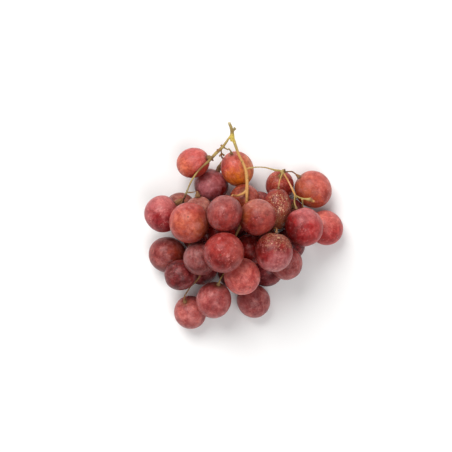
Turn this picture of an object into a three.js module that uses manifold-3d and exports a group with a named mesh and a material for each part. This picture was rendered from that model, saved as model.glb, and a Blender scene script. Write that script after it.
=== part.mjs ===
// A bunch of large red table grapes, as cut from the vine, lying on a table. Millimetres.
// X runs across the bunch, Y along it towards the cut end of the stalk, Z up from the table.
// The woody stalk with all its branches grew as one piece. Every berry is a piece of its own.

import * as THREE from "three";
import Module from "manifold-3d";
import { mergeVertices } from "three/addons/utils/BufferGeometryUtils.js";

const wasm = await Module();
wasm.setup();

const UP = new THREE.Vector3(0, 0, 1);

// The berries
const BERRY_RADIUS = 12.3; // mean, across the berry: such grapes are 22 to 27 mm thick
const BERRY_LENGTH_RATIO = 1.06; // length from pedicel to tip over thickness
const DIMPLE_DEPTH = 0.9; // round the pedicel
const DIMPLE_ANGLE = 0.3; // radians from the pole
const TIP_FLATTENING = 0.35; // round the scar of the style
const BERRY_SIDES = 16;
const BERRY_RINGS = 8;

// How the berries lie
const CLEARANCE = 0.35; // air left between two pieces that touch
const PRESS = 0.3; // how deep the table flattens a berry that rests on it
const SETTLING_STEPS = 1500;
const PUSH = 0.35; // share of an overlap taken out in one step
const HOLD = 0.3; // pull of a berry towards its place, in one step
const SINKING = 0.03; // drop in one step
const LOOSE_STEPS = 300; // the last ones, in which nothing pulls, so that no overlap is left
const TURNING_STEPS = 250; // how often the berries turn to face their pedicels again

// The wood
const PEDICEL_RADIUS = 0.52;
const PEDICEL_ROOT_RADIUS = 0.8; // where it leaves its branch
const PEDICEL_LENGTH = 8; // what a pedicel has where there is room for it
const PEDICEL_BOW = 0.6; // at most, each way
const PEDICEL_STRAIGHT_END = 2.5; // how far it comes straight out of the receptacle
const BLOCKED_WAY_COST = 8; // how much longer a pedicel gets rather than cut 1 mm into another berry
const RECEPTACLE_RADIUS = 1.65; // the warty collar that carries the berry
const RECEPTACLE_LENGTH = 3;
const ROOTING = 0.6; // how far a pedicel reaches into the dimple's floor before it is cut to fit
const COLLAR_PROFILE = [[0.35, 0.62], [0.6, 0.98], [1, 0.92]]; // share of its length, share of its radius
const PEDICEL_SIDES = 6;
const PEDICEL_RING_SPACING = 3.5;
const BRANCH_SIDES = 8;
const BRANCH_RING_SPACING = 3.5;
const WOOD_SPACING = 2; // of the places on a branch that berries are kept off and pedicels start from
const SHARES = [0, 0.2, 0.4, 0.6, 0.8, 1]; // of a pedicel's way, where its route may turn
const ROUTING_STEPS = 300;
const ROUTING_STIFFNESS = 0.25;
const SMOOTHED_AWAY = 0.04; // detail of the wood that is left out

// The woody parts, from the cut end down. Each route is a list of places along the middle of the wood.
const BRANCHES = {
  stalk: {
    radii: [1.0, 1.05, 1.1, 1.35, 1.65, 1.5],
    route: [[2.0, 69.4, 49.8], [3.1, 67.2, 48.5], [4.0, 64, 46.5], [4.2, 61.5, 45], [4.3, 57.6, 43]],
  },
  axis: {
    radii: [1.2, 0.95, 1.0, 1.25, 1.1, 1.0, 0.95, 0.9, 0.8, 0.75, 0.7],
    route: [
      [4.8, 59, 43.5], [6.5, 54.5, 42], [8, 50, 41], [11.8, 42.2, 40], [13.3, 38.5, 40], [14.1, 34, 40.3],
      [14.3, 27, 40.8], [14.2, 19.5, 40.8], [14, 12, 38.2], [12, 4, 33], [7, -6, 29], [2.5, -20, 27],
      [0.5, -30, 26],
    ],
  },
  left_shoulder: {
    radii: [0.7, 0.8, 1.15, 1.15, 0.95, 0.75, 0.65, 0.6, 0.65, 0.8],
    route: [
      [3.4, 61.2, 44.8], [1.4, 58.6, 43.5], [-2.2, 53.7, 41], [-6.8, 49.7, 38.5], [-11.7, 44.3, 36.5],
      [-17, 39.8, 35], [-22.8, 32.7, 33], [-26.7, 24.4, 31.6], [-28.6, 19.4, 31],
    ],
  },
  right_shoulder: {
    radii: [0.8, 0.48, 0.42, 0.5, 0.85, 0.6, 0.55, 0.75, 0.8],
    route: [
      [13.3, 38.5, 40], [18.3, 39.9, 38.3], [25.9, 40.2, 35.6], [33.6, 38.4, 33], [38.2, 37.6, 32.5],
      [43, 30.5, 32], [46.8, 22.8, 32], [48.2, 19.8, 32],
    ],
  },
  middle_arm: {
    radii: [1.0, 0.85, 0.7],
    route: [[14.2, 24, 40.8], [10.9, 21.6, 41.6], [7.4, 20.4, 44]],
  },
  bare_twig: {
    radii: [0.7, 0.5, 0.5, 0.6, 1.5, 1.6, 0.7],
    route: [
      [47.6, 21, 32], [50.5, 19.5, 32.2], [52.8, 18.5, 32.2], [56.2, 18.8, 32], [58.4, 17.9, 31.8],
      [60.8, 16.7, 31.5],
    ],
  },
  left_inner: {
    radii: [0.85, 0.75, 0.7],
    route: [[12, 4, 33], [5.5, 2.5, 29], [-3, 1, 25.5], [-12, -0.5, 25], [-21, -3, 27], [-28, -8, 28]],
  },
  right_inner: {
    radii: [0.85, 0.75, 0.7],
    route: [[12, 4, 33], [20.5, 0.5, 32.3], [29, -4, 32], [37, -9.5, 31]],
  },
  lower_left: {
    radii: [0.8, 0.75, 0.7],
    route: [[3, -18, 27.2], [-4, -24, 27], [-14, -29.5, 27], [-20, -37.5, 25]],
  },
};

// What is left where a berry or a twig came off, and the knobs at the forks.
const STUBS = [
  { route: [[4.2, 63.4, 46.2], [5.2, 64.7, 47], [6.2, 65.9, 47.7]], radii: [1.1, 0.85, 1.15] },
  { route: [[-2.2, 53.7, 41], [-2.9, 54.4, 41.3], [-3.6, 55, 41.5]], radii: [0.8, 0.65, 0.75] },
  { route: [[-5.2, 51, 39.6], [-5.7, 51.6, 39.9], [-6.1, 52.2, 40.1]], radii: [0.7, 0.6, 0.6] },
  { route: [[-10.6, 45.9, 37.3], [-9.6, 45.2, 37.2], [-8.5, 44.7, 37.1]], radii: [0.8, 0.7, 0.6] },
  { route: [[-3, 49.8, 33.6], [-3.9, 48.7, 33], [-4.4, 47.9, 32.6]], radii: [0.6, 0.55, 0.75] },
  { route: [[-3, 49.8, 33.6], [-1.9, 49, 33.2], [-1.1, 48.3, 32.8]], radii: [0.6, 0.55, 0.75] },
  { route: [[38.2, 37.6, 32.5], [39.6, 38.2, 32.4], [40.9, 38.6, 32.3]], radii: [0.8, 1.05, 0.9] },
];

// The berries. place is the centre as the bunch lies; size is the radius over BERRY_RADIUS. Those that show
// from above keep their place across and along, and settle only in height; one that is held hangs in the
// air inside the bunch. Where the pedicel shows too, from is where it leaves its branch, via a place on its
// way, and hang the place of the receptacle, which is collar times as long and girth times as thick as usual.
const BERRIES = [
  // round the top of the bunch
  {
    name: "top_left", colour: "rose", size: 0.85, ratio: 1.15, place: [-22.6, 43.8, 23.5],
    from: [-8.5, 48.3, 38], hang: [-10, 47.3, 29], collar: 1.5, girth: 1.3,
  },
  {
    name: "top_middle", colour: "amber", size: 0.92, ratio: 1.13, place: [7.8, 38.6, 24.5],
    from: [-2.2, 53.7, 41], via: [0.9, 52.2, 36.5], hang: [3.4, 49.6, 31], girth: 0.7,
  },
  {
    name: "top_dark", colour: "plum", size: 1.0, ratio: 0.95, place: [-10.2, 29.2, 12],
    from: [-3.6, 52, 40], via: [-2.9, 47.4, 25], hang: [-5.8, 38.8, 13.5], collar: 2.9, girth: 1.15,
  },
  {
    name: "back_rose", colour: "rose", size: 0.84, place: [14, 17.8, 28.6], held: true,
    from: [14.2, 27.5, 40.7], hang: [14.2, 22.2, 37.8], girth: 0.8,
  },
  { name: "back_mauve", colour: "mauve", size: 0.8, place: [22.6, 14.8, 10] },
  // left shoulder
  {
    name: "left_outer", colour: "crimson", size: 1.04, ratio: 0.97, place: [-43.6, 8.4, 31],
    from: [-28.6, 19.4, 31], hang: [-30, 18.5, 32.5], collar: 1.9, girth: 1.3,
  },
  { name: "left_amber", colour: "amber", size: 1.1, place: [-24, 2.4, 50] },
  { name: "left_hidden", colour: "plum", size: 0.9, place: [-32, 12.5, 11] },
  {
    name: "left_mauve", colour: "mauve", size: 0.84, place: [-18.7, 9.3, 26],
    from: [-27, 23.4, 31.6], via: [-23.4, 23, 31], hang: [-20, 21.5, 28.8], collar: 1.5, girth: 1.3,
  },
  // right shoulder
  {
    name: "right_top", colour: "rose", size: 1.035, ratio: 1.08, place: [61, 25.4, 13.5],
    from: [38.2, 37.6, 32.5], via: [45.5, 37.8, 27], hang: [50, 34.6, 16.5], collar: 1.3,
  },
  {
    name: "right_dark", colour: "crimson", size: 0.81, ratio: 1.2, place: [37.9, 27.6, 10.5],
    from: [38.2, 37.6, 32.5], hang: [37.9, 33.4, 20.5],
  },
  {
    name: "right_russet", colour: "russet", size: 0.81, ratio: 1.48, place: [35.5, 11.6, 27],
    from: [38.2, 37.6, 32.5], hang: [36.5, 26, 30.5], girth: 0.6,
  },
  {
    name: "right_crimson", colour: "crimson", size: 1.04, place: [53, -0.5, 39],
    from: [47.4, 21.4, 32], hang: [47.3, 13.4, 38.5], collar: 1.2, girth: 0.65,
  },
  {
    name: "right_outer", colour: "rose", size: 0.98, place: [70.5, -1.2, 19],
    from: [52, 18.8, 32.2], via: [53.4, 12.6, 26.5], hang: [62, 6, 23.5],
  },
  { name: "right_low", colour: "crimson", size: 0.9, place: [44.5, -12, 12] },
  // top of the heap
  {
    name: "middle_plum", colour: "plum", size: 0.96, place: [-1.2, 7.9, 60.5],
    from: [7.4, 20.4, 44], hang: [2.6, 18, 53],
  },
  { name: "middle_red", colour: "crimson", size: 1.01, place: [21, 5.5, 48], from: [12, 4, 33] },
  { name: "front_rose", colour: "rose", size: 1.09, place: [-1.5, -17.3, 62] },
  {
    name: "front_crimson", colour: "crimson", size: 1.03, place: [31.6, -16.6, 51],
    from: [24, -1.5, 32.3], via: [30.5, -3.6, 44], hang: [33.5, -2.5, 51], girth: 0.8,
  },
  { name: "front_mauve", colour: "mauve", size: 0.93, place: [-17.3, -22, 42] },
  { name: "deep_brown", colour: "plum", size: 0.89, place: [16.5, -16.5, 26] },
  // lower part, narrowing to the tip
  {
    name: "low_left", colour: "plum", size: 1.03, place: [-41.3, -20.3, 14],
    from: [-21, -3, 27], via: [-26, -16, 15], hang: [-30, -23.5, 5],
  },
  { name: "low_dark", colour: "plum", size: 0.87, place: [-31.2, -33.5, 28] },
  { name: "low_rose", colour: "rose", size: 1.0, place: [11, -33.8, 38] },
  { name: "low_right", colour: "mauve", size: 0.93, place: [41, -25, 29] },
  {
    name: "tip_middle", colour: "rose", size: 0.99, place: [-8.5, -51.5, 25],
    from: [0.5, -30, 26], hang: [-5.5, -41, 30],
  },
  {
    name: "tip_left", colour: "rose", size: 0.93, place: [-25.1, -61, 12],
    from: [-20, -37.5, 25], via: [-24.5, -41.8, 24.3], hang: [-28.5, -53, 20],
  },
  { name: "tip_right", colour: "mauve", size: 0.95, place: [19.6, -53, 12], from: [0.5, -30, 26] },
  // inside and underneath, where the others hide them
  { name: "inner", colour: "crimson", size: 0.85, place: [-5, -4.5, 36], held: true },
  { name: "under_1", colour: "plum", size: 0.95, place: [-20, -6, 12], hidden: true },
  { name: "under_2", colour: "crimson", size: 0.95, place: [2, -4, 12], hidden: true },
  { name: "under_3", colour: "plum", size: 0.8, place: [28, -7, 10], hidden: true },
  { name: "under_4", colour: "crimson", size: 0.86, place: [44, 7, 12], hidden: true },
  { name: "under_5", colour: "plum", size: 0.93, place: [-16, -29, 12], hidden: true },
  { name: "under_6", colour: "crimson", size: 0.93, place: [6.5, -31.5, 12], hidden: true },
  { name: "under_7", colour: "plum", size: 0.93, place: [29, -31, 12], hidden: true },
];

const FINISHES = {
  rose: { color: 0xb8524f, roughness: 0.5 },
  crimson: { color: 0x8f2f3d, roughness: 0.5 },
  plum: { color: 0x6e3440, roughness: 0.55 },
  mauve: { color: 0x96586a, roughness: 0.6 },
  amber: { color: 0xb4602f, roughness: 0.45 },
  russet: { color: 0x84504a, roughness: 0.65 },
  wood: { color: 0xa8994a, roughness: 0.7 },
};

// The same slight irregularities each time.
let seed = 7;
function random() {
  seed = (seed * 16807) % 2147483647;
  return seed / 2147483647;
}

// Solids

function asSolid(geometry) {
  const bare = geometry.clone();
  bare.deleteAttribute("normal");
  bare.deleteAttribute("uv");
  const merged = mergeVertices(bare, 1e-4);
  return new wasm.Manifold(
    new wasm.Mesh({
      numProp: 3,
      vertProperties: merged.attributes.position.array,
      triVerts: new Uint32Array(merged.index.array),
    }),
  );
}

function asGeometry(solid) {
  const mesh = solid.getMesh();
  const geometry = new THREE.BufferGeometry();
  geometry.setAttribute("position", new THREE.BufferAttribute(mesh.vertProperties, 3));
  geometry.setIndex(new THREE.BufferAttribute(mesh.triVerts, 1));
  return geometry;
}

// A closed rod along a curve, with a ring of corners at each station: how far along, and how thick there.
function rod(curve, stations, sides) {
  const positions = [];
  const faces = [];
  const across = new THREE.Vector3(0.31, 0.42, 0.85);
  stations.forEach(({ along, radius }, ring) => {
    const centre = curve.getPointAt(along);
    const forward = curve.getTangentAt(along);
    across.addScaledVector(forward, -across.dot(forward)).normalize();
    const upward = forward.clone().cross(across);
    for (let side = 0; side < sides; side++) {
      const angle = (2 * Math.PI * side) / sides;
      const corner = centre.clone().addScaledVector(across, radius * Math.cos(angle));
      corner.addScaledVector(upward, radius * Math.sin(angle));
      positions.push(...corner);
      if (ring === 0) continue;
      const next = (side + 1) % sides;
      const before = (ring - 1) * sides;
      const here = ring * sides;
      faces.push(before + side, before + next, here + next, before + side, here + next, here + side);
    }
  });
  const start = positions.length / 3;
  const last = (stations.length - 1) * sides;
  positions.push(...curve.getPointAt(stations[0].along), ...curve.getPointAt(stations.at(-1).along));
  for (let side = 0; side < sides; side++) {
    const next = (side + 1) % sides;
    faces.push(start, next, side, start + 1, last + side, last + next);
  }
  const geometry = new THREE.BufferGeometry();
  geometry.setAttribute("position", new THREE.Float32BufferAttribute(positions, 3));
  geometry.setIndex(faces);
  return geometry;
}

// A branch or stub, its radii spread evenly along it.
function branchRod({ route, radii }) {
  const curve = curveThrough(route);
  const rings = Math.max(2, Math.round(curve.getLength() / BRANCH_RING_SPACING));
  const stations = Array.from({ length: rings + 1 }, (_, ring) => ({
    along: ring / rings,
    radius: valueAt(radii, ring / rings),
  }));
  return rod(curve, stations, BRANCH_SIDES);
}

function curveThrough(route) {
  return new THREE.CatmullRomCurve3(route.map((place) => new THREE.Vector3(...place)));
}

function valueAt(values, along) {
  const place = Math.min(along, 0.999999) * (values.length - 1);
  const before = Math.floor(place);
  return THREE.MathUtils.lerp(values[before], values[before + 1], place - before);
}

// A berry turned about its own axis: its tip at the low end, the dimple for the pedicel at the top.
function berryGeometry(berry, extra = 0) {
  const profile = [];
  for (let ring = 0; ring <= BERRY_RINGS; ring++) {
    const angle = (Math.PI * ring) / BERRY_RINGS;
    const fromPedicel = Math.PI - angle;
    const dimple = DIMPLE_DEPTH * Math.exp(-((fromPedicel / DIMPLE_ANGLE) ** 2));
    const flat = TIP_FLATTENING * Math.exp(-((angle / DIMPLE_ANGLE) ** 2));
    const wide = ring === 0 || ring === BERRY_RINGS ? 0 : (berry.radius + extra) * Math.sin(angle);
    profile.push(new THREE.Vector2(wide, -(berry.length / 2 + extra) * Math.cos(angle) - dimple + flat));
  }
  const geometry = new THREE.LatheGeometry(profile, BERRY_SIDES);
  const turn = new THREE.Quaternion().setFromUnitVectors(new THREE.Vector3(0, 1, 0), berry.axis);
  geometry.applyQuaternion(turn);
  geometry.translate(...berry.centre);
  return geometry;
}

// How far a berry's skin is from its centre, in a direction.
function reach(berry, direction) {
  const lengthwise = direction.dot(berry.axis) ** 2;
  return 1 / Math.sqrt(lengthwise / (berry.length / 2) ** 2 + (1 - lengthwise) / berry.radius ** 2);
}

// Places on the branches, with their thickness, close enough together to stand for the wood.
function woodPlaces() {
  const places = [];
  for (const branch of Object.values(BRANCHES)) {
    const curve = curveThrough(branch.route);
    const steps = Math.ceil(curve.getLength() / WOOD_SPACING);
    for (let step = 0; step <= steps; step++) {
      const along = step / steps;
      places.push({ point: curve.getPointAt(along), radius: valueAt(branch.radii, along), branch });
    }
  }
  return places;
}

// The place on the wood where the pedicel of a berry starts: the nearest to the one stated, or else
// the one that gives a clear way of about the usual length.
function rootOf(berry, berries, wood) {
  let best = null;
  for (const place of wood) {
    if (place.branch === BRANCHES.stalk) continue;
    let cost;
    if (berry.from) {
      cost = place.point.distanceTo(new THREE.Vector3(...berry.from));
    } else {
      const way = place.point.clone().sub(berry.centre);
      const length = way.length();
      way.divideScalar(length);
      cost = Math.abs(length - reach(berry, way) - PEDICEL_LENGTH);
      for (const other of berries) {
        if (other === berry) continue;
        const toOther = other.centre.clone().sub(berry.centre);
        const along = THREE.MathUtils.clamp(toOther.dot(way), 0, length);
        const miss = toOther.addScaledVector(way, -along).length();
        cost += BLOCKED_WAY_COST * Math.max(0, other.radius + PEDICEL_RADIUS + CLEARANCE - miss);
      }
    }
    if (!best || cost < best.cost) best = { cost, point: place.point };
  }
  return best.point;
}

function settle(berries, wood) {
  for (let step = 0; step < SETTLING_STEPS; step++) {
    const loose = step >= SETTLING_STEPS - LOOSE_STEPS;
    if (step % TURNING_STEPS === 0 && !loose) {
      for (const berry of berries) {
        if (berry.hang) continue;
        berry.axis.copy(rootOf(berry, berries, wood)).sub(berry.centre).normalize();
      }
    }
    const moves = berries.map(() => new THREE.Vector3());
    berries.forEach((one, i) => {
      for (let j = i + 1; j < berries.length; j++) {
        const two = berries[j];
        const way = two.centre.clone().sub(one.centre);
        const apart = way.length();
        way.divideScalar(apart);
        const overlap = reach(one, way) + reach(two, way) + CLEARANCE - apart;
        if (overlap <= 0) continue;
        moves[i].addScaledVector(way, -overlap * PUSH);
        moves[j].addScaledVector(way, overlap * PUSH);
      }
      for (const place of wood) {
        const way = one.centre.clone().sub(place.point);
        const apart = way.length();
        const overlap = one.radius + place.radius + 2 * CLEARANCE - apart;
        if (overlap > 0) moves[i].addScaledVector(way, (overlap * PUSH) / apart);
      }
    });
    berries.forEach((berry, i) => {
      berry.centre.add(moves[i]);
      if (!loose) berry.centre.z -= SINKING;
      if (!loose && !berry.hidden) {
        const pull = berry.home.clone().sub(berry.centre).multiplyScalar(HOLD);
        if (!berry.held) pull.z = 0;
        berry.centre.add(pull);
      }
      const lowest = reach(berry, UP) - PRESS;
      berry.centre.z = Math.max(berry.centre.z, lowest);
    });
  }
}

// The middle line of a pedicel, from its branch to the floor of the berry's dimple: it starts straight,
// with a slight bow, and is then drawn tight round every berry in the way. It meets its berry head on.
function pedicelRoute(berry, berries, root) {
  const end = berry.centre.clone().addScaledVector(berry.axis, berry.length / 2 - DIMPLE_DEPTH - ROOTING);
  const collar = end.clone().addScaledVector(berry.axis, collarLength(berry));
  const straightOut = collar.clone().addScaledVector(berry.axis, PEDICEL_STRAIGHT_END);
  const bow = new THREE.Vector3(random() - 0.5, random() - 0.5, random() - 0.5);
  bow.multiplyScalar(8 * PEDICEL_BOW);
  const route = SHARES.map((along) =>
    root.clone().lerp(collar, along).addScaledVector(bow, along * (1 - along)),
  );
  if (berry.via) {
    const nearest = Math.round((SHARES.length - 1) * shareAlong(root, collar, berry.via));
    route[nearest].set(...berry.via);
    route[nearest].fixed = true;
  }
  for (let step = 0; step < ROUTING_STEPS; step++) {
    for (let i = 1; i < route.length - 1; i++) {
      if (route[i].fixed) continue;
      const middle = route[i - 1].clone().add(route[i + 1]).multiplyScalar(0.5);
      if (i === route.length - 2) middle.lerp(straightOut, 0.5);
      route[i].lerp(middle, ROUTING_STIFFNESS);
      for (const other of berries) {
        const way = route[i].clone().sub(other.centre);
        const apart = way.length();
        const overlap = reach(other, way.divideScalar(apart)) + PEDICEL_RADIUS + 1.5 * CLEARANCE - apart;
        if (overlap > 0) route[i].addScaledVector(way, overlap);
      }
    }
  }
  return [...route, end];
}

function shareAlong(start, finish, place) {
  const way = finish.clone().sub(start);
  return new THREE.Vector3(...place).sub(start).dot(way) / way.lengthSq();
}

function collarLength(berry) {
  return RECEPTACLE_LENGTH * (berry.collar ?? 1) + ROOTING;
}

// A pedicel: thicker where it leaves the branch, thin, and flared into the receptacle at the berry.
function pedicel(berry) {
  const curve = new THREE.CatmullRomCurve3(pedicelRoute(berry, berries, rootOf(berry, berries, wood)));
  const length = curve.getLength();
  const beforeCollar = length - collarLength(berry);
  const stations = [{ along: 0, radius: PEDICEL_ROOT_RADIUS }];
  const links = Math.max(2, Math.round(beforeCollar / PEDICEL_RING_SPACING));
  for (let link = 1; link <= links; link++) {
    stations.push({ along: (beforeCollar * link) / links / length, radius: PEDICEL_RADIUS });
  }
  for (const [share, radius] of COLLAR_PROFILE) {
    const distance = beforeCollar + share * collarLength(berry);
    const thick = radius * RECEPTACLE_RADIUS * (berry.girth ?? 1);
    stations.push({ along: Math.min(1, distance / length), radius: thick });
  }
  return rod(curve, stations, PEDICEL_SIDES);
}

// Everything in place

const wood = woodPlaces();
const berries = BERRIES.map((entry) => {
  const home = new THREE.Vector3(...entry.place);
  const radius = BERRY_RADIUS * entry.size;
  const axis = entry.hang ? new THREE.Vector3(...entry.hang).sub(home).normalize() : UP.clone();
  const length = 2 * radius * (entry.ratio ?? BERRY_LENGTH_RATIO);
  return { ...entry, home, centre: home.clone(), axis, radius, length };
});
settle(berries, wood);

// A berry that rests is pressed flat a little by the table.
const berrySolids = berries.map((berry) => {
  const lowest = () => asSolid(berryGeometry(berry)).boundingBox().min[2];
  if (lowest() < PRESS) berry.centre.z -= lowest() + PRESS;
  return asSolid(berryGeometry(berry)).trimByPlane([0, 0, 1], 0);
});

const branches = [...Object.values(BRANCHES), ...STUBS].map(branchRod);
let stem = [...branches, ...berries.map(pedicel)].map(asSolid).reduce((one, two) => one.add(two));
stem = stem.simplify(SMOOTHED_AWAY);
for (const berry of berries) stem = stem.subtract(asSolid(berryGeometry(berry, CLEARANCE)));
const pieces = stem.decompose().sort((one, two) => two.volume() - one.volume());
stem = pieces[0].simplify(SMOOTHED_AWAY);

// The origin is on the table, under the middle of the bunch.
const bunch = new THREE.Group();
const finish = (name) => new THREE.MeshStandardMaterial({ metalness: 0, ...FINISHES[name] });
const add = (name, solid, colour) => {
  const mesh = new THREE.Mesh(asGeometry(solid), finish(colour));
  mesh.name = name;
  bunch.add(mesh);
};
add("stem", stem, "wood");
berries.forEach((berry, i) => add("grape_" + berry.name, berrySolids[i], berry.colour));
const middle = new THREE.Box3().setFromObject(bunch).getCenter(new THREE.Vector3());
bunch.position.set(-middle.x, -middle.y, 0);

export default bunch;
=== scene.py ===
"""The looks of a bunch of large red table grapes, lying on a pale table and seen from straight above.

Every berry is remodelled finely in the place of its CAD solid, and the woody stalk is the CAD solid made
round, knobbly and rough. Metres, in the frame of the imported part: X across, Y towards the cut end of the
stalk, Z up.
"""

import math

import bmesh
import bpy
import numpy as np
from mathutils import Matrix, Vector, noise


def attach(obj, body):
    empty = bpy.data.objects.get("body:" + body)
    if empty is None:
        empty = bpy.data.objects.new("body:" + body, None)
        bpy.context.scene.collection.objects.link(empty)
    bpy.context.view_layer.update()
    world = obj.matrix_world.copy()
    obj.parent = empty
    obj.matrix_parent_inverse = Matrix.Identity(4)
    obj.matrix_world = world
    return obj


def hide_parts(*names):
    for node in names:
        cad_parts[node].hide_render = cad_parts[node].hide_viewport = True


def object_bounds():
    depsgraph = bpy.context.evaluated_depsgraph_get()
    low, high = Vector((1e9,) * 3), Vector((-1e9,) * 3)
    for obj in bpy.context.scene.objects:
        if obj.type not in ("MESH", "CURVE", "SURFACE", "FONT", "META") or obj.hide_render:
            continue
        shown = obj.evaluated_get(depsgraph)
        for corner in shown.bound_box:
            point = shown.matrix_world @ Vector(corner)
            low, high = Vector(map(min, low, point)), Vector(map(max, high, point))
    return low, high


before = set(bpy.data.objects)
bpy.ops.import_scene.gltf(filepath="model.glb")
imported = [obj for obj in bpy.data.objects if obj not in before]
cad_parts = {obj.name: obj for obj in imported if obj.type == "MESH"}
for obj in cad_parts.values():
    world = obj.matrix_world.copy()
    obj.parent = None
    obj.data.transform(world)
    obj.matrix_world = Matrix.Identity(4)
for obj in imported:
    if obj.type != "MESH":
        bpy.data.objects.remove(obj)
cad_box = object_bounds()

MM = 0.001

# Camera
CAMERA_HEIGHT = 740 * MM
PHOTO_WIDTH_IN_FOCUS = 307.4 * MM # what the picture's width takes in, at FOCUS_HEIGHT
FOCUS_HEIGHT = 40 * MM
SENSOR_WIDTH = 36 # mm
STALK_END_FROM_PICTURE_MIDDLE = Vector((2.60, 70.01, 0)) * MM

# Berries
RINGS = 44
SEGMENTS = 64
DIMPLE_DEPTH = 0.9 * MM
DIMPLE_ANGLE = 0.3 # half the dimple's width, in radians seen from the middle, like the angles below
TIP_FLATTENING = 0.35 * MM
SCAR_ANGLE = 0.045
SCAR_DEPTH = 0.18 * MM
CREASES = 9 # the fine creases that run into the dimple
CREASE_DEPTH = 0.07 * MM
CREASE_ANGLE = 0.38
CREASE_REACH = 0.2
LUMPS = 0.009 # unevenness, as a share of the radius
LUMP_WAVES = (1.6, 2.2, 2.9, 3.6) # how often each unevenness rises and falls over a radius

# Wood
VOXEL = 0.2 * MM
SMOOTHING_ROUNDS = 14
DRAW_IN = 0.55
LET_OUT = 0.57
BARK_RELIEF = 0.10 * MM
BARK_GRAIN = 0.9 * MM
WART_RELIEF = 0.28 * MM
WART_GRAIN = 0.55 * MM
WARTINESS = 1.6 # how brown and warty the wood is in the dimple, where 1 and above is wholly so
WARTINESS_LOST = 1.3 # how much less so it is RECEPTACLE_REACH away
RECEPTACLE_REACH = 3.4 * MM
CUT_REACH = 3.5 * MM
CUT_DIRECTION = (-0.42, 0.84, 0.33) # out of the cut end of the stalk

# Stage
FLOOR_HALF = 3.0
FLOOR_DROP = 0.05 * MM # so that the floor and the berries' flat spots don't coincide
FLOOR_BRIGHTNESS = 0.9
STUDIO_BRIGHTNESS = 0.32


def linear(red, green, blue):
    """The shader's colour for a colour as a screen shows it, 0 to 255."""
    def channel(value):
        value /= 255
        return value / 12.92 if value <= 0.04045 else ((value + 0.055) / 1.055) ** 2.4
    return (channel(red), channel(green), channel(blue), 1.0)


class Look:
    """The colours of one berry, mostly skin, with blotches of deep.

    Each patch is a colour, the side that it faces, how far it spreads and how strong it is, both 0 to 1.
    Patches are partly the berry's own colours and partly painted light and shade: paler on sides turned
    to the lamps and darker on sides turned away.
    The tan specks gather on the side that faces speckled.
    """

    def __init__(self, skin, deep, *patches, bloom=0.35, flecks=0.5, specks=0.3, speckled=None):
        self.skin = skin
        self.deep = deep
        self.patches = [
            (colour, Vector(side).normalized(), spread, share) for colour, side, spread, share in patches
        ]
        self.bloom = bloom
        self.flecks = flecks
        self.specks = specks
        self.speckled = Vector(speckled).normalized() if speckled else None


DARK = (84, 10, 16)
HIDDEN_LOOK = Look((124, 34, 38), DARK, bloom=0.2)
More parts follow.
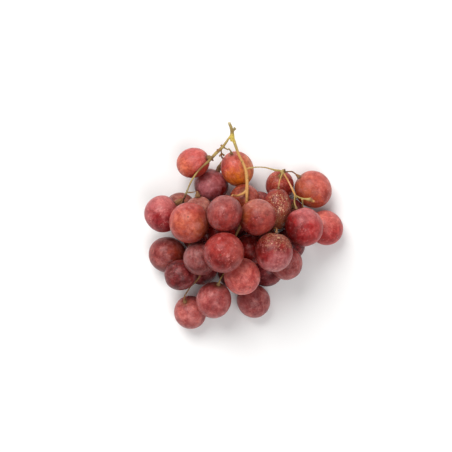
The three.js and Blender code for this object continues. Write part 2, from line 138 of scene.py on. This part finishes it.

# The berries that show, as they are in the photo. A side is across, up the picture, towards the camera.
# The patches are partly each berry's own colours and partly painted light and shade. The pale pink patches
# that face up the picture and towards the camera are painted highlights. The near-black red patches on
# sides turned away from the lamps are painted shade, and so is the golden-brown right side of
# grape_left_amber.
LOOKS = {
    "grape_top_left": Look(
        (192, 77, 62), (166, 48, 44), ((214, 116, 84), (-0.75, -0.35, 0.5), 0.4, 0.6),
        ((172, 54, 34), (0.5, -0.85, 0.1), 0.5, 0.8), ((206, 102, 98), (0.2, 0.6, 0.7), 0.4, 0.5),
        bloom=0.35, flecks=0.7,
    ),
    "grape_top_middle": Look(
        (200, 86, 68), (170, 48, 38), ((210, 110, 20), (0.1, -0.95, 0.3), 0.8, 0.9),
        ((216, 134, 84), (0.9, 0.2, 0.3), 0.45, 0.7), ((210, 112, 98), (-0.2, 0.8, 0.5), 0.4, 0.4),
        bloom=0.3, flecks=1.1,
    ),
    "grape_top_dark": Look(
        (148, 22, 12), (104, 7, 6), ((92, 3, 4), (-0.6, -0.75, 0.3), 0.4, 0.9),
        ((190, 112, 118), (-0.15, -0.3, 0.94), 0.0, 0.9), ((172, 92, 94), (0.35, 0.5, 0.8), 0.0, 0.8),
        bloom=0.08, flecks=0.3,
    ),
    "grape_back_rose": Look(
        (158, 68, 36), (122, 44, 24), ((190, 98, 84), (0.8, 0.3, 0.5), 0.5, 0.8), bloom=0.15,
    ),
    "grape_back_mauve": Look((166, 70, 62), (120, 38, 38), bloom=0.4),
    "grape_left_outer": Look(
        (152, 24, 32), (116, 8, 16), ((186, 98, 96), (0.1, 0.8, 0.6), 0.4, 0.9),
        ((178, 88, 90), (-0.9, 0.0, 0.3), 0.35, 0.8), bloom=0.2, flecks=1.3,
    ),
    "grape_left_amber": Look(
        (184, 84, 74), (164, 58, 50), ((122, 40, 3), (0.95, -0.35, 0.05), 0.75, 0.95),
        ((202, 108, 72), (-0.1, -0.3, 0.9), 0.3, 0.4), ((152, 40, 30), (-0.3, -0.95, 0.1), 0.5, 0.7),
        bloom=0.3, flecks=0.6,
    ),
    "grape_left_hidden": Look((156, 88, 74), (116, 52, 44), bloom=0.3),
    "grape_left_mauve": Look((188, 118, 104), (144, 76, 66), bloom=0.4),
    "grape_right_top": Look(
        (186, 80, 64), (164, 60, 46), ((172, 92, 62), (-0.6, 0.1, 0.7), 0.35, 0.6),
        ((166, 66, 24), (-0.5, -0.85, 0.2), 0.5, 0.9), ((198, 98, 88), (0.3, 0.7, 0.6), 0.4, 0.6),
        bloom=0.3, flecks=0.9,
    ),
    "grape_right_dark": Look(
        (172, 60, 48), (138, 36, 28), bloom=0.2, flecks=1.1, specks=1.3, speckled=(-0.3, 0.5, 0.8),
    ),
    "grape_right_russet": Look(
        (148, 50, 42), (112, 28, 24), ((136, 64, 34), (0.3, -0.9, 0.2), 0.65, 1.0),
        bloom=0.2, flecks=0.8, specks=2.2, speckled=(0.1, 0.1, 1.0),
    ),
    "grape_right_crimson": Look(
        (170, 32, 34), (124, 8, 12), ((90, 2, 4), (-0.9, -0.4, 0.2), 0.6, 0.95),
        ((184, 98, 98), (0.25, 0.88, 0.4), 0.35, 0.9), ((184, 62, 60), (0.85, -0.45, 0.3), 0.5, 0.7),
        bloom=0.1, flecks=0.6,
    ),
    "grape_right_outer": Look(
        (196, 68, 62), (166, 46, 46), ((206, 108, 98), (0.0, 0.8, 0.6), 0.4, 0.9), bloom=0.25, flecks=0.9,
    ),
    "grape_right_low": Look((128, 22, 28), DARK, bloom=0.2),
    "grape_middle_plum": Look(
        (140, 38, 34), (92, 12, 14), ((154, 82, 78), (0.2, 0.85, 0.5), 0.6, 0.8),
        ((158, 84, 80), (-0.9, 0.1, 0.3), 0.35, 0.6), ((160, 56, 50), (0.1, -0.3, 0.9), 0.3, 0.5),
        bloom=0.25, flecks=0.7,
    ),
    "grape_middle_red": Look(
        (154, 42, 34), (104, 10, 10), ((150, 68, 36), (-0.8, 0.5, 0.3), 0.5, 0.9),
        ((186, 112, 100), (0.3, 0.85, 0.4), 0.4, 0.8), ((172, 72, 62), (0.6, -0.5, 0.5), 0.35, 0.7),
        bloom=0.15, flecks=0.7,
    ),
    "grape_front_rose": Look(
        (150, 42, 38), (108, 14, 16), ((168, 50, 44), (0.0, 0.6, 0.8), 0.35, 0.6),
        ((168, 72, 64), (0.85, 0.0, 0.4), 0.4, 0.7), bloom=0.2, flecks=1.0,
    ),
    "grape_front_crimson": Look(
        (150, 38, 38), (104, 10, 14), ((124, 60, 46), (0.4, 0.95, 0.2), 0.4, 0.7),
        ((96, 14, 8), (-0.9, 0.45, 0.1), 0.55, 0.9), ((178, 98, 98), (0.3, -0.85, 0.35), 0.5, 0.9),
        bloom=0.2, flecks=0.9, specks=1.6, speckled=(0.2, 0.9, 0.5),
    ),
    "grape_front_mauve": Look(
        (122, 50, 48), (98, 32, 32), ((150, 86, 84), (-0.9, 0.3, 0.3), 0.4, 0.8), bloom=0.25, flecks=0.4,
    ),
    "grape_inner": Look((150, 18, 14), (116, 8, 7), bloom=0.05),
    "grape_deep_brown": Look((134, 15, 9), (96, 7, 5), bloom=0.0),
    # The low and tip berries are painted paler and hazier than their own skins. This is a painted veil,
    # like light reflected off glass in front of them.
    "grape_low_left": Look(
        (158, 78, 73), (122, 46, 46), ((130, 38, 16), (0.95, 0.1, 0.3), 0.7, 0.9), bloom=0.4, flecks=0.4,
    ),
    "grape_low_dark": Look((120, 34, 36), (80, 12, 16), bloom=0.4, flecks=0.4),
    "grape_low_rose": Look((212, 108, 98), (182, 72, 68), bloom=0.4),
    "grape_low_right": Look((168, 84, 80), (130, 48, 48), bloom=0.4),
    "grape_tip_middle": Look((182, 92, 88), (146, 58, 58), bloom=0.4),
    "grape_tip_left": Look((186, 98, 92), (152, 64, 62), bloom=0.4),
    "grape_tip_right": Look((174, 90, 86), (136, 56, 58), bloom=0.4),
}

# The wood's colours, and where along it they are found: across and up the picture from its middle, in mm
PALE_CUT = (206, 196, 160)
YELLOW = (224, 202, 102)
OLIVE = (182, 160, 98)
GREY_OLIVE = (164, 152, 112)
OLIVE_BROWN = (156, 130, 76)
TAN = (206, 154, 92)
PINK_TAN = (230, 176, 130)
BROWN = (146, 104, 64)
DARK_BROWN = (102, 70, 46)
TONES = [
    ((2.0, 69.4), PALE_CUT), ((3.1, 67.2), OLIVE), ((4.2, 63.6), OLIVE_BROWN), ((6.2, 65.8), GREY_OLIVE),
    ((4.2, 60.5), YELLOW), ((4.3, 57.6), YELLOW), ((6.5, 54.5), OLIVE), ((9.0, 48.0), TAN),
    # The BROWN at (12.0, 4.0) is painted shade. It darkens the stalk where it shows in the shaded gap among
    # the middle berries.
    ((13.3, 38.5), TAN), ((14.2, 27.0), TAN), ((14.2, 19.5), TAN), ((12.0, 4.0), BROWN),
    ((0.5, 58.0), OLIVE), ((-2.2, 53.7), OLIVE), ((-6.8, 49.7), OLIVE), ((-3.6, 55.0), BROWN),
    ((-6.1, 52.2), BROWN), ((-11.7, 44.3), OLIVE_BROWN), ((-8.5, 44.7), DARK_BROWN), ((-17.0, 39.8), BROWN),
    ((-22.8, 32.7), OLIVE), ((-26.7, 24.4), GREY_OLIVE), ((-28.6, 19.4), DARK_BROWN),
    ((-31.0, 17.6), BROWN), ((-3.0, 49.0), BROWN), ((-5.6, 38.3), DARK_BROWN), ((0.9, 52.2), OLIVE),
    ((-20.5, 21.5), BROWN), ((-24.0, 23.0), BROWN),
    ((18.3, 39.9), OLIVE), ((33.6, 38.4), OLIVE), ((38.2, 37.6), OLIVE), ((40.9, 38.6), DARK_BROWN),
    ((46.0, 37.0), BROWN), ((41.0, 33.5), TAN), ((44.0, 28.5), PINK_TAN), ((46.8, 22.8), TAN),
    ((48.0, 19.8), OLIVE_BROWN), ((52.8, 18.5), OLIVE), ((56.5, 18.9), OLIVE), ((58.4, 17.9), BROWN),
    ((60.8, 16.7), TAN), ((-20.0, -3.0), BROWN), ((24.0, -2.0), BROWN), ((0.0, -28.0), OLIVE),
    ((-20.0, -37.0), BROWN),
]
TONE_BLUR = 0.6 * MM # how softly the colour of one place runs into the next
WART_BROWN = (124, 90, 62)
SPOT_BROWN = (92, 60, 36)
CUT_FACE = (206, 188, 140)

# Shades: what the colour under them is multiplied by, in the shader's red, green and blue
DARKER = (0.6, 0.34, 0.36, 1)
PALER = (1.22, 1.5, 1.45, 1)
FRECKLE_SHADE = (0.5, 0.3, 0.35, 1)
STREAK_SHADE = (0.6, 0.4, 0.45, 1)
STRIPE_SHADE = (0.66, 0.56, 0.46, 1)
UNEVEN_SHADE = (0.7, 0.6, 0.5, 1)

# Colours that lie over those of every berry
FLECK = (222, 136, 130)
PORE = (206, 150, 112)
RUSSET = (196, 152, 108)
SCAB = (222, 180, 138)
BLOOM = (202, 144, 142)
SCAR = (96, 62, 44)
COLLAR = (118, 76, 44)


# Shader helpers


class Shader:
    """A material whose nodes are made in the order they are used."""

    def __init__(self, name):
        self.material = bpy.data.materials.new(name)
        self.material.use_nodes = True
        self.nodes = self.material.node_tree.nodes
        self.links = self.material.node_tree.links
        self.surface = self.nodes["Principled BSDF"]

    def put(self, socket, value):
        if isinstance(value, bpy.types.NodeSocket):
            self.links.new(value, socket)
        elif value is not None:
            socket.default_value = value

    def attribute(self, name, output="Vector"):
        node = self.nodes.new("ShaderNodeAttribute")
        node.attribute_name = name
        return node.outputs[output]

    def moved(self, vector, offset=(0, 0, 0), scale=(1, 1, 1)):
        node = self.nodes.new("ShaderNodeMapping")
        self.put(node.inputs["Vector"], vector)
        node.inputs["Location"].default_value = offset
        node.inputs["Scale"].default_value = scale
        return node.outputs["Vector"]

    def noise(self, vector, scale, detail=3.0, roughness=0.55, distortion=0.0):
        node = self.nodes.new("ShaderNodeTexNoise")
        self.put(node.inputs["Vector"], vector)
        node.inputs["Scale"].default_value = scale
        node.inputs["Detail"].default_value = detail
        node.inputs["Roughness"].default_value = roughness
        node.inputs["Distortion"].default_value = distortion
        return node.outputs["Fac"]

    def dots(self, vector, scale, size):
        """1 in small round dots scattered at random, 0 elsewhere."""
        node = self.nodes.new("ShaderNodeTexVoronoi")
        self.put(node.inputs["Vector"], vector)
        node.inputs["Scale"].default_value = scale
        return self.between(node.outputs["Distance"], size, size * 0.35)

    def between(self, value, low, high):
        """0 where value is low, 1 where it is high, smooth in between."""
        node = self.nodes.new("ShaderNodeMapRange")
        node.interpolation_type = "SMOOTHSTEP"
        self.put(node.inputs["Value"], value)
        node.inputs["From Min"].default_value = low
        node.inputs["From Max"].default_value = high
        return node.outputs["Result"]

    def math(self, operation, first, second=None):
        node = self.nodes.new("ShaderNodeMath")
        node.operation = operation
        self.put(node.inputs[0], first)
        self.put(node.inputs[1], second)
        return node.outputs["Value"]

    def product(self, *factors):
        result = factors[0]
        for factor in factors[1:]:
            result = self.math("MULTIPLY", result, factor)
        return result

    def along(self, vector, direction):
        node = self.nodes.new("ShaderNodeVectorMath")
        node.operation = "DOT_PRODUCT"
        self.put(node.inputs[0], vector)
        node.inputs[1].default_value = direction
        return node.outputs["Value"]

    def mix(self, share, first, second, blend="MIX"):
        node = self.nodes.new("ShaderNodeMix")
        node.data_type = "RGBA"
        node.blend_type = blend
        self.put(node.inputs["Factor"], share)
        self.put(node.inputs["A"], first)
        self.put(node.inputs["B"], second)
        return next(out for out in node.outputs if out.type == "RGBA")

    def bump(self, height, strength, distance):
        node = self.nodes.new("ShaderNodeBump")
        node.inputs["Strength"].default_value = strength
        node.inputs["Distance"].default_value = distance
        self.put(node.inputs["Height"], height)
        self.put(self.surface.inputs["Normal"], node.outputs["Normal"])

    def set(self, **values):
        for name, value in values.items():
            self.put(self.surface.inputs[name.replace("_", " ")], value)


class Skin(Shader):
    """A grape's skin, laid on in layers. Places on it are in radii from the berry's middle, so a noise of
    scale 1 has features about as big as the radius."""

    def __init__(self, name, look, turn, number):
        super().__init__(name)
        self.look = look
        self.turn = turn
        self.whole = self.attribute("place")
        self.place = self.moved(self.whole, (3.7 * number, 1.9 * number, 0))
        self.streak_place = self.moved(self.attribute("streak"), (0, 0, 2.3 * number), (5, 5, 1.2))
        self.blotches = self.between(self.noise(self.place, 1.5, 5, 0.62, 0.6), 0.34, 0.66)
        self.colour = self.mix(self.blotches, linear(*look.deep), linear(*look.skin))

    def facing(self, direction):
        """How far each place faces a direction of the room, from -1 to 1."""
        return self.along(self.whole, self.turn.transposed() @ direction)

    def lay(self, share, colour, blend="MIX"):
        self.colour = self.mix(share, self.colour, colour, blend)

    def lay_patches_and_painted_light(self):
        """Patches of colour, each on its own side with an uneven edge: partly the berry's own colours,
        partly painted highlights and painted shade.
        """
        edge = self.noise(self.place, 2.4, 4, 0.65)
        for colour, toward, spread, share in self.look.patches:
            side = self.math("ADD", self.facing(toward), edge)
            patch = self.between(side, 1.05 - 0.55 * spread, 1.5 - 0.25 * spread)
            self.lay(self.product(patch, share), linear(*colour))

    def lay_mottling(self):
        """Soft clouds, darker and paler, then mottling, freckles and streaks from pole to pole."""
        clouds = self.noise(self.moved(self.place, (0, 7, 0)), 2.9, 3, 0.5, 0.8)
        self.lay(self.product(self.between(clouds, 0.50, 0.36), 0.5), DARKER, "MULTIPLY")
        pale = self.mix(1.0, self.colour, PALER, "MULTIPLY")
        self.lay(self.product(self.between(clouds, 0.52, 0.64), 0.9), pale)
        mottling = self.between(self.noise(self.place, 5.0, 6, 0.76, 0.3), 0.46, 0.60)
        self.lay(self.product(mottling, 0.35), DARKER, "MULTIPLY")
        freckles = self.between(self.noise(self.place, 13, 3, 0.6), 0.60, 0.68)
        self.lay(self.product(freckles, 0.35), FRECKLE_SHADE, "MULTIPLY")
        streaks = self.between(self.noise(self.streak_place, 2.2, 4, 0.65), 0.46, 0.72)
        self.lay(self.product(streaks, 0.35), STREAK_SHADE, "MULTIPLY")

    def lay_specks(self):
        """Pale flecks, then tan pores, russet and scabs where these gather."""
        look, place = self.look, self.place
        where = self.between(self.noise(place, 2.1, 3), 0.38, 0.62)
        flecks = self.between(self.noise(place, 8, 5, 0.72), 0.52, 0.63)
        self.lay(self.product(flecks, where, 0.45 * look.flecks), linear(*FLECK))
        if look.speckled is None:
            gathered = self.between(self.noise(place, 2.6), 0.45, 0.7)
        else:
            side = self.math("ADD", self.facing(look.speckled), self.noise(place, 3.0, 4))
            gathered = self.between(side, 0.9, 1.45)
        pores = self.dots(place, 15, 0.24)
        self.lay(self.product(pores, gathered, min(1.0, 0.8 * look.specks)), linear(*PORE))
        russet = self.between(self.noise(place, 22, 4, 0.7), 0.55, 0.66)
        self.lay(self.product(russet, gathered, min(0.9, 0.45 * look.specks)), linear(*RUSSET))
        scabs = self.between(self.noise(self.moved(place, (5, 0, 0)), 9, 4, 0.75), 0.55, 0.64)
        self.lay(self.product(scabs, gathered, min(1.0, max(0.0, 0.7 * look.specks - 0.5))), linear(*SCAB))

    def lay_bloom(self):
        """The waxy bloom, in patches that dull and pale the skin. Gives back how waxy each place is."""
        waxy = self.between(self.noise(self.place, 1.1, 3, 0.5, 0.4), 0.32, 0.66)
        fine = self.between(self.noise(self.place, 3.4, 7, 0.74), 0.42, 0.62)
        paler = self.math("ADD", self.product(self.blotches, 0.7), 0.3)
        self.lay(self.product(waxy, fine, paler, self.look.bloom), linear(*BLOOM))
        return self.product(waxy, fine)

    def lay_ends(self):
        """The brown scar at the tip, and the brown round the pedicel."""
        height = self.along(self.whole, (0, 0, 1))
        self.lay(self.product(self.between(height, -0.9975, -0.9992), 0.7), linear(*SCAR))
        self.lay(self.product(self.between(height, 0.92, 0.98), 0.4), linear(*COLLAR))


def skin_material(name, look, turn, number):
    skin = Skin(name, look, turn, number)
    skin.lay_patches_and_painted_light()
    skin.lay_mottling()
    skin.lay_specks()
    waxy = skin.lay_bloom()
    skin.lay_ends()
    skin.set(
        Base_Color=skin.colour,
        Roughness=skin.math("ADD", skin.product(waxy, 0.25), 0.34),
        Subsurface_Weight=0.25,
        Subsurface_Radius=(1.0, 0.25, 0.15),
        Subsurface_Scale=3.5 * MM,
        IOR=1.36,
        Specular_IOR_Level=0.4,
    )
    skin.bump(skin.noise(skin.place, 26, 3), 0.05, 0.2 * MM)
    return skin.material


def wood_material():
    """The stalk: its own colour at each place, with fine stripes, brown spots, brown receptacles, pale cut
    faces. Places on it are in mm."""
    wood = Shader("stalk_wood")
    place = wood.attribute("place")
    colour = wood.attribute("tone", "Color")
    uneven = wood.between(wood.noise(place, 0.35, 4, 0.6), 0.3, 0.7)
    colour = wood.mix(wood.product(uneven, 0.3), colour, UNEVEN_SHADE, "MULTIPLY")
    stripes = wood.between(wood.noise(place, 1.1, 4, 0.65), 0.4, 0.7)
    colour = wood.mix(wood.product(stripes, 0.5), colour, STRIPE_SHADE, "MULTIPLY")
    spots = wood.between(wood.noise(place, 0.6, 4, 0.7), 0.60, 0.68)
    colour = wood.mix(wood.product(spots, 0.7), colour, linear(*SPOT_BROWN))
    uneven_edge = wood.between(wood.noise(place, 0.7, 3), 0.2, 0.5)
    warty = wood.product(wood.attribute("collar", "Fac"), uneven_edge, 0.8)
    colour = wood.mix(warty, colour, linear(*WART_BROWN))
    colour = wood.mix(wood.attribute("cut", "Fac"), colour, linear(*CUT_FACE))
    wood.set(
        Base_Color=colour,
        Roughness=0.62,
        Subsurface_Weight=0.08,
        Subsurface_Radius=(1.0, 0.7, 0.3),
        Subsurface_Scale=1 * MM,
        Specular_IOR_Level=0.3,
    )
    wood.bump(wood.noise(place, 2.2, 4, 0.7), 0.5, 0.2 * MM)
    return wood.material


# The berries


def unique_points(mesh):
    """The mesh's corners merged where they coincide, and how many others each is joined to."""
    merged = bmesh.new()
    merged.from_mesh(mesh)
    bmesh.ops.remove_doubles(merged, verts=merged.verts, dist=1e-6)
    points = np.array([v.co for v in merged.verts])
    joined = np.array([len(v.link_edges) for v in merged.verts])
    merged.free()
    return points, joined


class Berry:
    """Where a berry's CAD solid is, how it is turned and how big it is, measured from the solid."""

    def __init__(self, node, wood_points):
        points, joined = unique_points(node.data)
        most_joined = points[joined == joined.max()]
        poles = most_joined if len(most_joined) <= 2 else points[[joined.argmax()]]
        nearness = [np.linalg.norm(wood_points - pole, axis=1).min() for pole in poles]
        pedicel_pole = poles[int(np.argmin(nearness))]
        centre = points.mean(0)
        for _ in range(3):
            axis = pedicel_pole - centre
            axis /= np.linalg.norm(axis)
            centre, radius, half_length = fit_spheroid(points, centre, axis)
        self.name = node.name
        self.centre = centre
        self.radius = radius
        self.half_length = half_length
        self.axis = axis
        self.turn = Vector((0, 0, 1)).rotation_difference(Vector(axis)).to_matrix()


def fit_spheroid(points, centre, axis):
    """The centre, radius and half length of the spheroid about the axis that passes nearest the points.

    Those by the poles and the table are left out."""
    offsets = points - centre
    height = offsets @ axis
    kept = (np.abs(height) < 0.8 * np.linalg.norm(offsets, axis=1)) & (points[:, 2] > 0.5 * MM)
    offsets, height = offsets[kept], height[kept]
    side = np.cross(axis, (0.36, 0.48, 0.8))
    side /= np.linalg.norm(side)
    other = np.cross(axis, side)
    across, up = offsets @ side, offsets @ other
    terms = np.stack([height**2, height, across, up, np.ones(len(across))], 1)
    squash, level, right, top, constant = np.linalg.lstsq(terms, -(across**2 + up**2), rcond=None)[0]
    shift = -level / (2 * squash)
    radius_squared = right**2 / 4 + top**2 / 4 + level**2 / (4 * squash) - constant
    radius = math.sqrt(radius_squared)
    new_centre = centre - side * right / 2 - other * top / 2 + axis * shift
    return new_centre, radius, radius / math.sqrt(squash)


def berry_mesh(berry, number):
    """A slightly uneven berry, with a dimple and creases at the pedicel and a small scar at the tip.

    It keeps each place in radii from the middle, and again drawn out from pole to pole, for the streaks."""
    chance = np.random.default_rng(number)
    theta = np.linspace(0, math.pi, RINGS + 1)[1:-1]
    phi = np.arange(SEGMENTS) * 2 * math.pi / SEGMENTS
    theta, phi = (grid.ravel() for grid in np.meshgrid(theta, phi, indexing="ij"))
    theta = np.concatenate([[0], theta, [math.pi]])
    phi = np.concatenate([[0], phi, [0]])
    unit = np.stack([np.sin(theta) * np.cos(phi), np.sin(theta) * np.sin(phi), np.cos(theta)], 1)

    lumps = np.zeros(len(theta))
    for waves in LUMP_WAVES:
        direction = chance.normal(size=3)
        direction /= np.linalg.norm(direction)
        wave = np.cos(waves * (unit @ direction) + chance.uniform(0, 6.28))
        lumps += wave * LUMPS * chance.uniform(0.3, 1)
    lumps -= lumps.mean()
    swell = 1 + np.clip(lumps, -2 * LUMPS, 1.2 * LUMPS)
    local = unit * [berry.radius, berry.radius, berry.half_length] * swell[:, None]

    from_tip = math.pi - theta
    creases = 0.5 + 0.5 * np.cos(CREASES * phi + 1.5 * np.sin(2 * phi))
    creases *= np.exp(-(((theta - CREASE_ANGLE) / CREASE_REACH) ** 2))
    local[:, 2] -= DIMPLE_DEPTH * np.exp(-((theta / DIMPLE_ANGLE) ** 2))
    local -= unit * (CREASE_DEPTH * creases)[:, None]
    local[:, 2] += TIP_FLATTENING * np.exp(-((from_tip / DIMPLE_ANGLE) ** 2))
    local[:, 2] += SCAR_DEPTH * np.exp(-((from_tip / SCAR_ANGLE) ** 2))

    world = local @ np.array(berry.turn).T + berry.centre
    world = np.clip(world, LOWEST, HIGHEST)

    mesh = bpy.data.meshes.new(berry.name + "_skin")
    mesh.from_pydata(world.tolist(), [], sphere_faces())
    mesh.shade_smooth()
    girth = np.sin(theta) ** 0.3
    streak = np.stack([np.cos(phi) * girth, np.sin(phi) * girth, 0.3 * unit[:, 2]], 1)
    keep_vectors(mesh, "place", unit)
    keep_vectors(mesh, "streak", streak)
    return mesh


def sphere_faces():
    """The faces of rings of points between two poles, the first and the last point."""
    def point(ring, segment):
        return 1 + ring * SEGMENTS + segment % SEGMENTS
    last = 1 + (RINGS - 1) * SEGMENTS
    faces = []
    for segment in range(SEGMENTS):
        faces.append((0, point(0, segment), point(0, segment + 1)))
        faces.append((last, point(RINGS - 2, segment + 1), point(RINGS - 2, segment)))
        for ring in range(RINGS - 2):
            near, far = point(ring, segment), point(ring + 1, segment)
            faces.append((near, far, point(ring + 1, segment + 1), point(ring, segment + 1)))
    return faces


def keep_vectors(mesh, name, vectors):
    attribute = mesh.attributes.new(name, "FLOAT_VECTOR", "POINT")
    attribute.data.foreach_set("vector", np.asarray(vectors, np.float32).ravel())


def keep_numbers(mesh, name, numbers):
    attribute = mesh.attributes.new(name, "FLOAT", "POINT")
    attribute.data.foreach_set("value", np.asarray(numbers, np.float32))


def keep_colours(mesh, name, colours):
    attribute = mesh.attributes.new(name, "FLOAT_COLOR", "POINT")
    attribute.data.foreach_set("color", np.asarray(colours, np.float32).ravel())


def add_piece(name, mesh, material, node):
    piece = bpy.data.objects.new(name, mesh)
    bpy.context.scene.collection.objects.link(piece)
    mesh.materials.append(material)
    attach(piece, "root")
    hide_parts(node)


# The wood


def rounded(points, edges, rounds):
    """Points smoothed along the mesh without shrinking: each round draws them in, then lets them out."""
    first, second = edges.T
    counts = np.bincount(edges.ravel(), minlength=len(points))[:, None]
    for step in range(2 * rounds):
        total = np.zeros_like(points)
        for axis in range(3):
            total[:, axis] += np.bincount(first, points[second, axis], len(points))
            total[:, axis] += np.bincount(second, points[first, axis], len(points))
        pull = DRAW_IN if step % 2 == 0 else -LET_OUT
        points = points + pull * (total / counts - points)
    return points


def wood_mesh(node, berries):
    """The CAD stalk made round, with warty brown receptacles and a fine relief of bark."""
    rough = bpy.data.objects.new("stalk_rough", node.data.copy())
    bpy.context.scene.collection.objects.link(rough)
    weld = rough.modifiers.new("weld", "WELD")
    weld.merge_threshold = 1e-6
    remesh = rough.modifiers.new("remesh", "REMESH")
    remesh.mode = "VOXEL"
    remesh.voxel_size = VOXEL
    evaluated = rough.evaluated_get(bpy.context.evaluated_depsgraph_get())
    mesh = bpy.data.meshes.new_from_object(evaluated)
    bpy.data.objects.remove(rough)
    mesh.name = "stalk_wood"

    count = len(mesh.vertices)
    points = np.zeros(count * 3)
    mesh.vertices.foreach_get("co", points)
    edges = np.zeros(len(mesh.edges) * 2, np.int64)
    mesh.edges.foreach_get("vertices", edges)
    points = rounded(points.reshape(-1, 3), edges.reshape(-1, 2), SMOOTHING_ROUNDS)
    mesh.vertices.foreach_set("co", points.ravel())
    mesh.update()
    normals = np.zeros(count * 3)
    mesh.vertices.foreach_get("normal", normals)
    normals = normals.reshape(-1, 3)

    poles = np.array([berry.centre + berry.axis * (berry.half_length - DIMPLE_DEPTH) for berry in berries])
    distance = np.full(count, 1.0)
    for pole in poles:
        distance = np.minimum(distance, np.linalg.norm(points - pole, axis=1))
    collar = np.clip(WARTINESS - WARTINESS_LOST * distance / RECEPTACLE_REACH, 0, 1)
    relief = np.array([noise.noise(Vector(p) / BARK_GRAIN) for p in points]) * BARK_RELIEF
    relief += np.array([noise.noise(Vector(p) / WART_GRAIN) for p in points]) * WART_RELIEF * collar
    points = np.clip(points + normals * relief[:, None], LOWEST, HIGHEST)

    mesh.vertices.foreach_set("co", points.ravel())
    mesh.shade_smooth()
    mesh.materials.clear()
    keep_vectors(mesh, "place", points / MM)
    keep_numbers(mesh, "collar", collar)
    keep_numbers(mesh, "cut", cut_share(points, normals))
    keep_colours(mesh, "tone", tones(points))
    return mesh


def tones(points):
    """The wood's colour at each point, from the places named above, the nearer the more."""
    places = np.array([place for place, _ in TONES]) * MM + np.array(picture_middle)[:2]
    colours = np.array([linear(*colour) for _, colour in TONES])
    away = np.linalg.norm(points[:, None, :2] - places[None], axis=2)
    pull = 1 / (away + TONE_BLUR) ** 4
    return (pull @ colours) / pull.sum(1, keepdims=True)


def cut_share(points, normals):
    """1 on the face where the stalk was cut, 0 elsewhere."""
    end = points[points[:, 1].argmax()]
    near = np.linalg.norm(points - end, axis=1) < CUT_REACH
    outward = normals @ np.array(CUT_DIRECTION)
    return np.where(near, np.clip((outward - 0.6) / 0.25, 0, 1), 0)


# The stage


def add_floor():
    mesh = bpy.data.meshes.new("table")
    signs = ((-1, -1), (1, -1), (1, 1), (-1, 1))
    corners = [(across * FLOOR_HALF, along * FLOOR_HALF, 0) for across, along in signs]
    mesh.from_pydata(corners, [], [(0, 1, 2, 3)])
    floor = bpy.data.objects.new("table", mesh)
    floor.location.z = -FLOOR_DROP
    bpy.context.scene.collection.objects.link(floor)
    paper = Shader("pale_table")
    paper.set(Base_Color=(*[FLOOR_BRIGHTNESS] * 3, 1), Roughness=0.9, Specular_IOR_Level=0.1)
    mesh.materials.append(paper.material)


def add_light(name, place, size, power, colour=(1, 1, 1)):
    light = bpy.data.lights.new(name, "AREA")
    light.shape = "DISK"
    light.size = size
    light.energy = power
    light.color = colour
    lamp = bpy.data.objects.new(name, light)
    lamp.location = place
    lamp.rotation_euler = (-Vector(place)).to_track_quat("-Z", "Y").to_euler()
    bpy.context.scene.collection.objects.link(lamp)


def add_world(strength):
    world = bpy.data.worlds.new("studio")
    world.use_nodes = True
    background = world.node_tree.nodes["Background"]
    background.inputs["Color"].default_value = (1, 1, 1, 1)
    background.inputs["Strength"].default_value = strength
    bpy.context.scene.world = world


def add_camera(middle):
    """The camera looks straight down on the bunch, which lies with its stalk up the picture."""
    lens = bpy.data.cameras.new("camera")
    lens.sensor_width = SENSOR_WIDTH
    lens.lens = SENSOR_WIDTH * (CAMERA_HEIGHT - FOCUS_HEIGHT) / PHOTO_WIDTH_IN_FOCUS
    camera = bpy.data.objects.new("camera", lens)
    camera.location = (middle.x, middle.y, CAMERA_HEIGHT)
    bpy.context.scene.collection.objects.link(camera)
    bpy.context.scene.camera = camera


LOWEST, HIGHEST = (np.array(corner) for corner in cad_box)
stem_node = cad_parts["stem"]
wood_points, _ = unique_points(stem_node.data)

picture_middle = Vector(wood_points[wood_points[:, 1].argmax()]) - STALK_END_FROM_PICTURE_MIDDLE
add_camera(picture_middle)
berries = [Berry(node, wood_points) for name, node in sorted(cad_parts.items()) if name != "stem"]
for number, berry in enumerate(berries):
    look = LOOKS.get(berry.name, HIDDEN_LOOK)
    material = skin_material(berry.name + "_skin", look, berry.turn, number)
    mesh = berry_mesh(berry, number)
    add_piece(berry.name.replace("grape", "berry"), mesh, material, berry.name)
add_piece("stalk", wood_mesh(stem_node, berries), wood_material(), "stem")

add_floor()
add_world(STUDIO_BRIGHTNESS)
add_light("key", (-0.45, 0.8, 1.2), 1.0, 20, (1.0, 0.99, 0.97))
add_light("fill", (0.3, -0.5, 1.4), 1.0, 9)

scene = bpy.context.scene
scene.view_settings.view_transform = "Standard"
